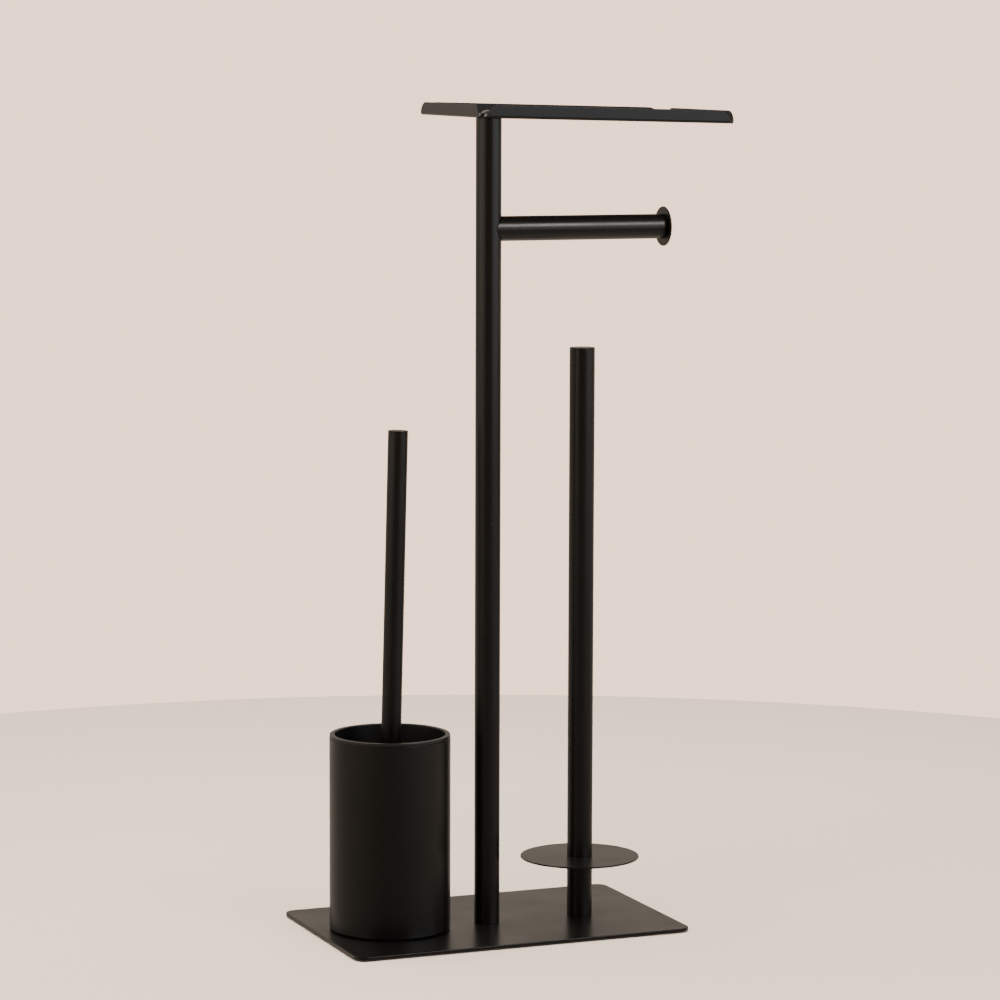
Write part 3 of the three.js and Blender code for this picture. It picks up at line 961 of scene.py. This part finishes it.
def moulded_plastic(name, roughness_low, roughness_high):
    # Injection-moulded polypropylene: black, with the soft even sheen of a spark-eroded
    # mould, whose texture is about 0.25 mm across. The gloss drifts over a few centimetres.
    spark_size = 0.25 * mm
    flow_size = 25 * mm
    material, tree = blank_material(name)
    place = add_node(tree, "ShaderNodeTexCoord").outputs["Object"]
    spark = add_node(
        tree, "ShaderNodeTexNoise", {"Vector": place, "Scale": 1 / spark_size, "Detail": 2.0}
    )
    flow = add_node(
        tree, "ShaderNodeTexNoise", {"Vector": place, "Scale": 1 / flow_size, "Detail": 2.0}
    )
    colour = add_node(
        tree,
        "ShaderNodeMix",
        {"Factor": flow.outputs["Fac"], "A": linear("#151515"), "B": linear("#1b1b1b")},
        data_type="RGBA",
    )
    gloss = add_node(
        tree,
        "ShaderNodeMapRange",
        {
            "Value": flow.outputs["Fac"],
            "From Min": 0.3,
            "From Max": 0.7,
            "To Min": roughness_low,
            "To Max": roughness_high,
        },
    )
    texture = add_node(
        tree,
        "ShaderNodeBump",
        {"Height": spark.outputs["Fac"], "Strength": 0.3, "Distance": 0.01 * mm},
    )
    shader = add_node(
        tree,
        "ShaderNodeBsdfPrincipled",
        {
            "Base Color": colour.outputs["Result"],
            "Roughness": gloss.outputs["Result"],
            "IOR": 1.49,
            "Normal": texture.outputs["Normal"],
        },
    )
    add_node(tree, "ShaderNodeOutputMaterial", {"Surface": shader.outputs["BSDF"]})
    return material


liner_low, liner_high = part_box("cup_liner")
lip_radius = (liner_high.x - liner_low.x) / 2
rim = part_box("brush_cup")[1].z
body_radius = cup_radius - cup_wall - liner_gap
foot_of_liner = body_radius - liner_taper
liner = turned(
    soften([
        (0, liner_low.z),
        (foot_of_liner, liner_low.z),
        (body_radius, rim),
        (lip_radius, rim),
        (lip_radius, liner_high.z),
        (body_radius - liner_wall, liner_high.z),
        (foot_of_liner - liner_wall, liner_low.z + liner_wall),
        (0, liner_low.z + liner_wall),
    ], liner_round, steps=4),
    sides=160,
)
liner.transform(cup_place)
liner_plastic = moulded_plastic("moulded_polypropylene", 0.32, 0.38)
make_piece("cup_liner_moulded", liner, liner_plastic, "liner", "liner_plastic", "cup_liner")

# ------------------------------------------------------------------------- brush bristles

# The head is nylon bristle, punched in tufts all round a moulded core and trimmed to a
# round-bottomed drum. Nodes set out the tufts and fan the bristles out from each.
brush_lean = radians(1.4)
brush_offset = -2.9 * mm
bristle_foot_radius = 20 * mm
bristle_drum_radius = 36 * mm
bristle_height = 80 * mm
core_radius = 8 * mm
core_bottom = 12 * mm
bristle_inputs = {
    "Tufts": ("NodeSocketInt", 380),
    "Bristles per tuft": ("NodeSocketInt", 20),
    "Bristle radius": ("NodeSocketFloat", 0.3 * mm),
    "Fan round the core": ("NodeSocketFloat", 0.07),
    "Fan along the core": ("NodeSocketFloat", 0.022),
    "Seed": ("NodeSocketInt", 7),
}

brush_place = (
    Matrix.Translation((
        middle_of("brush_cup").x + brush_offset,
        middle_of("brush_cup").y,
        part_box("brush_bristles")[0].z + bristle_foot_radius * sin(brush_lean),
    ))
    @ Matrix.Rotation(brush_lean, 4, "Y")
)


def bristle_nylon():
    # Extruded nylon monofilament: black, some bristles a little greyer than their
    # neighbours, with the sheen of a drawn thread.
    tint_size = 1.2 * mm
    material, tree = blank_material("black_nylon_monofilament")
    place = add_node(tree, "ShaderNodeTexCoord").outputs["Object"]
    tint = add_node(tree, "ShaderNodeTexNoise", {"Vector": place, "Scale": 1 / tint_size})
    colour = add_node(
        tree,
        "ShaderNodeMix",
        {"Factor": tint.outputs["Fac"], "A": linear("#0d0d0e"), "B": linear("#2e2e30")},
        data_type="RGBA",
    )
    shader = add_node(
        tree,
        "ShaderNodeBsdfPrincipled",
        {"Base Color": colour.outputs["Result"], "Roughness": 0.42, "IOR": 1.53},
    )
    add_node(tree, "ShaderNodeOutputMaterial", {"Surface": shader.outputs["BSDF"]})
    return material


def bristle_tree(material):
    """The node tree that makes the bristles, in the brush's own upright place."""
    tree = bpy.data.node_groups.new("punched_bristles", "GeometryNodeTree")
    ports = tree.interface
    ports.new_socket("Geometry", in_out="OUTPUT", socket_type="NodeSocketGeometry")
    for name, (kind, value) in bristle_inputs.items():
        ports.new_socket(name, in_out="INPUT", socket_type=kind).default_value = value
    given = add_node(tree, "NodeGroupInput").outputs

    def sums(operation, *values):
        inputs = dict(enumerate(values))
        return add_node(tree, "ShaderNodeMath", inputs, operation=operation).outputs[0]

    def chance(low, high, offset):
        seed = sums("ADD", given["Seed"], offset)
        picked = add_node(
            tree, "FunctionNodeRandomValue", {2: low, 3: high, "Seed": seed}, data_type="FLOAT"
        )
        return picked.outputs[1]

    count = sums("MULTIPLY", given["Tufts"], given["Bristles per tuft"])
    points = add_node(tree, "GeometryNodePoints", {"Count": count})
    index = add_node(tree, "GeometryNodeInputIndex").outputs[0]
    tuft = sums("FLOOR", sums("DIVIDE", index, given["Bristles per tuft"]))
    golden_angle = pi * (3 - sqrt(5))
    round_core = sums("MULTIPLY", tuft, golden_angle)
    # More tufts go where the drum is wide, so the share along the core rises fast at first.
    crowding = 0.72
    share = sums("POWER", sums("DIVIDE", sums("ADD", tuft, 0.5), given["Tufts"]), crowding)
    fan = sums("MULTIPLY", given["Fan round the core"], -1)
    tip_angle = sums("ADD", round_core, chance(fan, given["Fan round the core"], 0))
    slide = sums("MULTIPLY", given["Fan along the core"], -1)
    tip_share = sums("ADD", share, chance(slide, given["Fan along the core"], 1))

    def on_profile(start, start_handle, end_handle, end, share, angle):
        """A point part of the way up a curved profile that is spun round the core."""
        line = add_node(tree, "GeometryNodeCurvePrimitiveBezierSegment", {
            "Resolution": 24,
            "Start": start,
            "Start Handle": start_handle,
            "End Handle": end_handle,
            "End": end,
        })
        sampled = add_node(
            tree,
            "GeometryNodeSampleCurve",
            {"Curves": line.outputs[0], "Factor": share},
            mode="FACTOR",
        )
        spun = add_node(
            tree,
            "ShaderNodeVectorRotate",
            {"Vector": sampled.outputs["Position"], "Angle": angle},
            rotation_type="Z_AXIS",
        )
        return spun.outputs[0]

    # The roots follow the core up, and the tips the drum, from its round bottom to its top.
    root = on_profile(
        (0.5 * mm, 0, core_bottom + mm),
        (core_radius, 0, core_bottom),
        (core_radius - mm, 0, 0.5 * bristle_height),
        (core_radius - mm, 0, bristle_height - 4 * mm),
        share,
        round_core,
    )
    tip = on_profile(
        (2 * mm, 0, 0.6 * mm),
        (1.33 * bristle_drum_radius, 0, 0.6 * mm),
        (1.06 * bristle_drum_radius, 0, bristle_height + 3 * mm),
        (0.76 * bristle_drum_radius, 0, bristle_height - mm),
        tip_share,
        tip_angle,
    )
    run = add_node(tree, "ShaderNodeVectorMath", {0: tip, 1: root}, operation="SUBTRACT").outputs[0]
    length = add_node(tree, "ShaderNodeVectorMath", {0: run}, operation="LENGTH").outputs["Value"]
    trimmed = sums("MULTIPLY", length, chance(0.96, 1.0, 2))
    placed = add_node(
        tree, "GeometryNodeSetPosition", {"Geometry": points.outputs[0], "Position": root}
    )
    thread = add_node(tree, "GeometryNodeMeshCone", {
        "Vertices": 4,
        "Side Segments": 1,
        "Radius Top": sums("MULTIPLY", given["Bristle radius"], 0.6),
        "Radius Bottom": given["Bristle radius"],
        "Depth": 1.0,
    })
    size = add_node(tree, "ShaderNodeCombineXYZ", {"X": 1.0, "Y": 1.0, "Z": trimmed})
    facing = add_node(tree, "FunctionNodeAlignRotationToVector", {"Vector": run}, axis="Z")
    fixed = add_node(tree, "GeometryNodeInstanceOnPoints", {
        "Points": placed.outputs[0],
        "Instance": thread.outputs[0],
        "Rotation": facing.outputs[0],
        "Scale": size.outputs[0],
    })
    real = add_node(tree, "GeometryNodeRealizeInstances", {0: fixed.outputs[0]})
    coated = add_node(tree, "GeometryNodeSetMaterial", {0: real.outputs[0], "Material": material})
    add_node(tree, "NodeGroupOutput", {0: coated.outputs[0]})
    return tree


nylon = bristle_nylon()
bristle_nodes = bristle_tree(nylon)
carrier = bpy.data.objects.new("bristle_carrier", bpy.data.meshes.new("bristle_carrier"))
bpy.context.collection.objects.link(carrier)
grower = carrier.modifiers.new("bristles", "NODES")
grower.node_group = bristle_nodes
sockets = {
    item.name: item.identifier
    for item in bristle_nodes.interface.items_tree
    if item.in_out == "INPUT"
}
for name, (kind, value) in bristle_inputs.items():
    grower[sockets[name]] = value
bpy.context.view_layer.update()
graph = bpy.context.evaluated_depsgraph_get()
bristles = bpy.data.meshes.new_from_object(carrier.evaluated_get(graph), depsgraph=graph)
bpy.data.objects.remove(carrier)
bristles.transform(brush_place)
make_piece("brush_bristles_nylon", bristles, nylon, "brush", "bristle_nylon", "brush_bristles")

# ----------------------------------------------------------------------------- brush core

# The core is moulded in one piece: the stem that carries the tufts, a shoulder with two
# grip rings, and a spigot that is pressed into the handle's plug.
core_shoulder_radius = 10.5 * mm
shoulder_bottom = bristle_height + 4 * mm
shoulder_top = shoulder_bottom + 8 * mm
spigot_radius = 5 * mm
spigot_length = 14 * mm
core_round = 0.6 * mm
ring_depth = 0.6 * mm
ring_starts = (2 * mm, 4.8 * mm)
ring_half = 0.6 * mm
rings = []
for start in ring_starts:
    rings += [
        (core_shoulder_radius, shoulder_bottom + start),
        (core_shoulder_radius - ring_depth, shoulder_bottom + start + ring_half),
        (core_shoulder_radius, shoulder_bottom + start + 2 * ring_half),
    ]
core_outline = soften([
    (0, core_bottom),
    (core_radius, core_bottom),
    (core_radius, shoulder_bottom),
    (core_shoulder_radius, shoulder_bottom),
    *rings,
    (core_shoulder_radius, shoulder_top),
    (spigot_radius, shoulder_top),
    (spigot_radius, shoulder_top + spigot_length),
    (0, shoulder_top + spigot_length),
], core_round)
core = turned(core_outline, sides=64)
core.transform(brush_place)
core_plastic = moulded_plastic("moulded_polypropylene_core", 0.36, 0.42)
make_piece("brush_core_moulded", core, core_plastic, "brush", "brush_plastic", "brush_core")

# --------------------------------------------------------------------------- brush handle

# A slim steel tube with a 1 mm wall, coated like the poles and closed with a flat cap.
handle_radius = 8.6 * mm
handle_wall = 1 * mm
handle_length = 426 * mm
handle_sides = 80
handle_cap_height = 1.5 * mm
handle_cap_plug = 10 * mm
handle_bottom = shoulder_top + rest_gap
handle_top = handle_length - handle_cap_height
handle_outline = tube_outline(handle_radius, handle_wall, handle_bottom, handle_top)
handle = turned(handle_outline, handle_sides)
handle.transform(brush_place)
make_piece("brush_handle_coated", handle, black_coat, "brush", "powder_coat", "brush_handle")

cap_seat = handle_top + rest_gap
handle_cap_outline = cap_outline(
    handle_radius,
    handle_wall,
    handle_top - handle_cap_plug,
    cap_seat,
    cap_seat + handle_cap_height,
)
handle_cap = turned(handle_cap_outline, handle_sides)
handle_cap.transform(brush_place)
make_piece("handle_cap_coated", handle_cap, black_coat, "brush", "powder_coat", "handle_cap")
